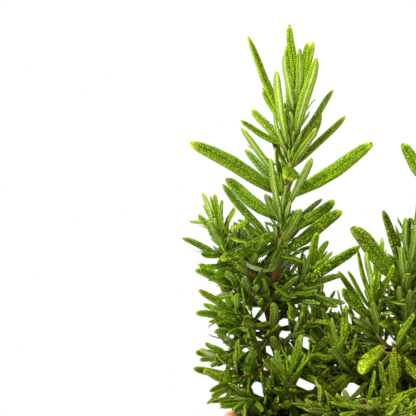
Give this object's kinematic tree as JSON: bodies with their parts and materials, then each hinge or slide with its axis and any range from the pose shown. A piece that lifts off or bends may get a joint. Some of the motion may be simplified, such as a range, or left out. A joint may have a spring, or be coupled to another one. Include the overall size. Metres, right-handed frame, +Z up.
{
  "type": "potted rosemary plant",
  "caption": "Young rosemary plant with needle-like leaves on upright leafy stems, rooted in potting soil in a plain terracotta pot.",
  "frame": {"origin": "on the pot's axis, in the plane that the pot stands on, which is also the middle of the whole plant seen from above", "axes": "+Z up from the floor, +X to the right and +Y to the back of a viewer who faces the plant as the picture does"},
  "size_m": [0.1354, 0.1182, 0.2213],
  "materials": {
    "terracotta": "unglazed fired clay, matte, with faint throwing rings and pale mineral bloom",
    "soil": "dark crumbly potting mix with bark and perlite, matte",
    "rosemary": "bumpy green leaves with a satin sheen and pale undersides on light green stems that turn woody brown low down"
  },
  "bodies": {
    "root": {"pot": "terracotta", "potting_soil": "soil", "stem_a_leader": "rosemary", "stem_b_leader": "rosemary", "stem_c_leader": "rosemary", "stem_d_leader": "rosemary", "stem_e_leader": "rosemary", "stem_f_leader": "rosemary", "shoot_a_back_low": "rosemary", "shoot_a_back_middle": "rosemary", "shoot_a_back_upper": "rosemary", "shoot_a_front_low": "rosemary", "shoot_a_left_drooping": "rosemary", "shoot_a_left_fan": "rosemary", "shoot_a_left_low": "rosemary", "shoot_a_left_middle": "rosemary", "shoot_a_left_rim": "rosemary", "shoot_a_left_upper": "rosemary", "shoot_a_right_low": "rosemary", "shoot_a_right_middle": "rosemary", "shoot_a_right_upper": "rosemary", "shoot_b_back_upper": "rosemary", "shoot_b_front_low": "rosemary", "shoot_b_front_middle": "rosemary", "shoot_b_left_middle": "rosemary", "shoot_b_left_upper": "rosemary", "shoot_b_right_low": "rosemary", "shoot_b_right_upper": "rosemary", "shoot_c_back": "rosemary", "shoot_c_front": "rosemary", "shoot_c_front_low": "rosemary", "shoot_c_left_low": "rosemary", "shoot_c_right_low": "rosemary", "shoot_c_right_upper": "rosemary", "shoot_d_back": "rosemary", "shoot_d_left": "rosemary", "shoot_d_left_low": "rosemary", "shoot_d_right_low": "rosemary", "shoot_d_right_upper": "rosemary", "shoot_e_front": "rosemary", "shoot_e_left": "rosemary", "shoot_e_right": "rosemary", "shoot_f_back": "rosemary", "shoot_f_left": "rosemary"}
  },
  "joints": []
}
